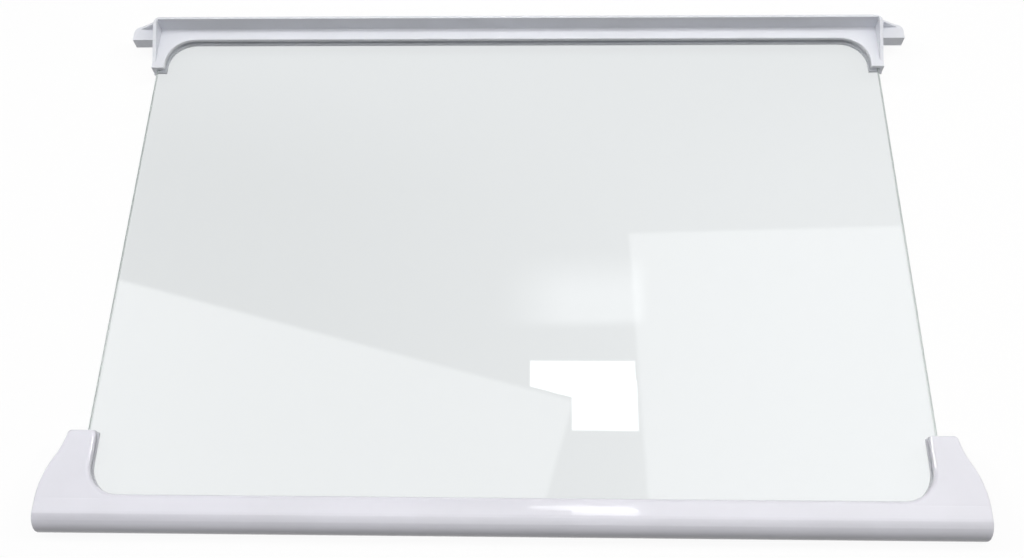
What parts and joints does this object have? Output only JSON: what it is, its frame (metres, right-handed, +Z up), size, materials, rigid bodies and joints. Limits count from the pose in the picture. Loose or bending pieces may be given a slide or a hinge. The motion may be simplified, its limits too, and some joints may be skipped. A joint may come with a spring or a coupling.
{
  "type": "fridge glass shelf",
  "caption": "Flat glass fridge shelf held in a rounded white front trim with side wings and a rear trim with an upstand and side lugs.",
  "frame": {"origin": "under the middle of the shelf, level with the foot of the front trim", "axes": "+X across the shelf to the right, +Y from the front trim to the rear trim, +Z up out of the glass"},
  "size_m": [0.5206, 0.3408, 0.0255],
  "materials": {
    "tempered_glass": "clear float glass, faintly green, ground edges",
    "white_moulding": "glossy cool-white injection moulding"
  },
  "bodies": {
    "root": {"glass_panel": "tempered_glass", "front_trim": "white_moulding", "rear_trim": "white_moulding"}
  },
  "joints": []
}
